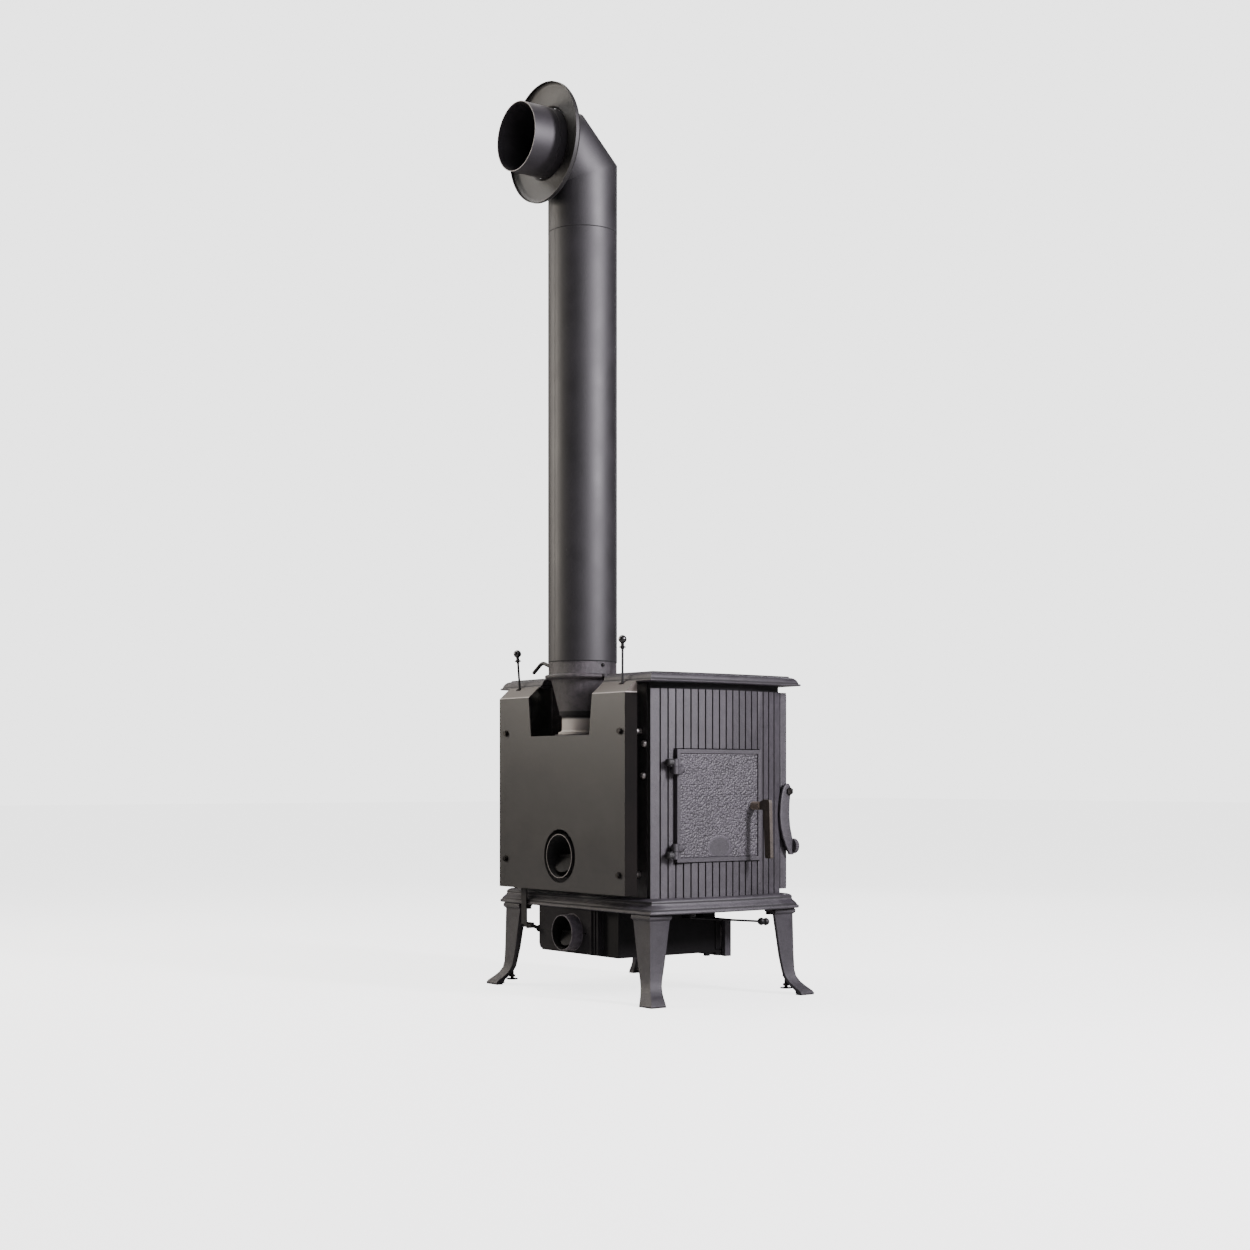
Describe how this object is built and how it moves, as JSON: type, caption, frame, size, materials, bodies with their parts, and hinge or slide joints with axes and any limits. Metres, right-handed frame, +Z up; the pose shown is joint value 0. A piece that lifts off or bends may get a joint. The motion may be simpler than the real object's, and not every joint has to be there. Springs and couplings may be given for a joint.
{
  "type": "freestanding wood stove",
  "caption": "Rectangular cast-iron wood stove on splayed legs, side loading door, rear heat shield, ash box, flue pipe, elbow and wall rosette.",
  "frame": {"origin": "on the floor, in the middle of the whole object's plan box", "axes": "+Z up along the flue, -Y towards the front door, -X towards the side loading door"},
  "size_m": [0.6608, 0.5896, 2.0066],
  "materials": {
    "black_cast_iron": "matt stove paint on as-cast iron",
    "black_steel": "matt heat-proof paint",
    "grey_sheet_steel": "matt warm grey",
    "bare_steel": "dull",
    "oiled_bare_iron": "bare, browned by handling",
    "black_plastic": "gloss heat-proof resin",
    "fire_board": "matt vermiculite board",
    "stove_glass": "clear ceramic glass",
    "rope_seal": "knitted glass-fibre rope"
  },
  "bodies": {
    "stove": {"base_plate": "black_cast_iron", "top_plate": "black_cast_iron", "left_panel": "black_cast_iron", "right_panel": "black_cast_iron", "rear_panel": "black_cast_iron", "front_frame": "black_cast_iron", "leg_front_left": "black_cast_iron", "leg_front_right": "black_cast_iron", "leg_rear_left": "black_cast_iron", "leg_rear_right": "black_cast_iron", "flue_pocket": "black_cast_iron", "flue_boot": "black_cast_iron", "grate_plate": "black_cast_iron", "log_guard": "black_cast_iron", "air_adapter": "black_cast_iron", "flue_pipe": "black_steel", "flue_elbow": "black_steel", "wall_stub": "black_steel", "wall_rosette": "black_steel", "ash_box": "black_steel", "rear_air_spigot": "black_steel", "heat_shield": "grey_sheet_steel", "ash_pan": "grey_sheet_steel", "leg_bolts": "bare_steel", "shield_bolts": "bare_steel", "shield_spacers": "bare_steel", "rear_bolts": "bare_steel", "hinge_pins": "bare_steel", "ash_hinge_pin": "bare_steel", "lining_left": "fire_board", "lining_right": "fire_board", "lining_rear": "fire_board", "baffle_plate": "fire_board"},
    "front_door": {"front_door": "black_cast_iron", "door_glass": "stove_glass", "glass_clips": "bare_steel", "front_rope": "rope_seal"},
    "front_latch": {"latch_lever": "black_cast_iron", "latch_spindle": "bare_steel"},
    "side_door": {"side_door": "black_cast_iron", "side_rope": "rope_seal"},
    "side_handle": {"handle_spindle": "bare_steel", "handle_bar": "oiled_bare_iron"},
    "ash_door": {"ash_door": "black_cast_iron", "ash_rope": "rope_seal"},
    "primary_control": {"primary_rod": "black_steel", "primary_knob": "black_plastic"},
    "primary_flap": {"primary_flap": "black_steel"},
    "rear_control": {"rear_rod": "black_steel", "rear_knob": "black_plastic"},
    "rear_flap": {"rear_flap": "black_steel"},
    "flue_damper": {"damper_disc": "black_steel", "damper_rod": "black_steel"},
    "riddling_rod": {"riddling_rod": "black_steel"},
    "riddling_grate": {"riddling_grate": "black_cast_iron"},
    "level_front_left": {"level_front_left": "bare_steel"},
    "level_front_right": {"level_front_right": "bare_steel"},
    "level_rear_left": {"level_rear_left": "bare_steel"},
    "level_rear_right": {"level_rear_right": "bare_steel"}
  },
  "joints": [
    {"name": "front_door_hinge", "type": "hinge", "parent": "stove", "child": "front_door", "pos_m": [0.28173, -0.25755, 0.45], "axis": [0, 0, 1], "range_deg": [0, 120]},
    {"name": "front_latch_turn", "type": "hinge", "parent": "front_door", "child": "front_latch", "pos_m": [-0.24827, -0.25755, 0.452], "axis": [1, 0, 0], "range_deg": [-60, 0]},
    {"name": "side_door_hinge", "type": "hinge", "parent": "stove", "child": "side_door", "pos_m": [-0.27037, 0.07805, 0.42], "axis": [0, 0, -1], "range_deg": [0, 110]},
    {"name": "side_handle_turn", "type": "hinge", "parent": "side_door", "child": "side_handle", "pos_m": [-0.27627, -0.14175, 0.421], "axis": [1, 0, 0], "range_deg": [0, 90]},
    {"name": "ash_door_hinge", "type": "hinge", "parent": "stove", "child": "ash_door", "pos_m": [0.01372, -0.16275, 0.088], "axis": [1, 0, 0], "range_deg": [0, 90]},
    {"name": "primary_slide", "type": "slide", "parent": "stove", "child": "primary_control", "axis": [0, 0, 1], "range_m": [-0.0143, 0]},
    {"name": "primary_flap_turn", "type": "hinge", "parent": "stove", "child": "primary_flap", "pos_m": [0.01372, 0.14145, 0.1395], "axis": [1, 0, 0], "range_deg": [-40, 0]},
    {"name": "rear_slide", "type": "slide", "parent": "stove", "child": "rear_control", "axis": [0, 0, 1], "range_m": [-0.0143, 0]},
    {"name": "rear_flap_turn", "type": "hinge", "parent": "stove", "child": "rear_flap", "pos_m": [0.01372, 0.1462, 0.309], "axis": [1, 0, 0], "range_deg": [-40, 0]},
    {"name": "damper_turn", "type": "hinge", "parent": "stove", "child": "flue_damper", "pos_m": [0.01372, 0.11665, 0.73], "axis": [1, 0, 0], "range_deg": [0, 90]},
    {"name": "riddling_slide", "type": "slide", "parent": "stove", "child": "riddling_rod", "axis": [0, -0.9968, -0.0802], "range_m": [0, 0.038]},
    {"name": "riddling_turn", "type": "hinge", "parent": "stove", "child": "riddling_grate", "pos_m": [0.01372, -0.06175, 0.2], "axis": [0, 0, 1], "range_deg": [0, 13.4]},
    {"name": "level_front_left_screw", "type": "slide", "parent": "stove", "child": "level_front_left", "axis": [0, 0, 1], "range_m": [-0.012, 0.002]},
    {"name": "level_front_right_screw", "type": "slide", "parent": "stove", "child": "level_front_right", "axis": [0, 0, 1], "range_m": [-0.012, 0.002]},
    {"name": "level_rear_left_screw", "type": "slide", "parent": "stove", "child": "level_rear_left", "axis": [0, 0, 1], "range_m": [-0.012, 0.002]},
    {"name": "level_rear_right_screw", "type": "slide", "parent": "stove", "child": "level_rear_right", "axis": [0, 0, 1], "range_m": [-0.012, 0.002]}
  ],
  "couplings": [
    {"joint": "primary_flap_turn", "follows": "primary_slide", "rad_per_m": 48.6},
    {"joint": "rear_flap_turn", "follows": "rear_slide", "rad_per_m": 48.6},
    {"joint": "riddling_turn", "follows": "riddling_slide", "rad_per_m": 6.12}
  ]
}
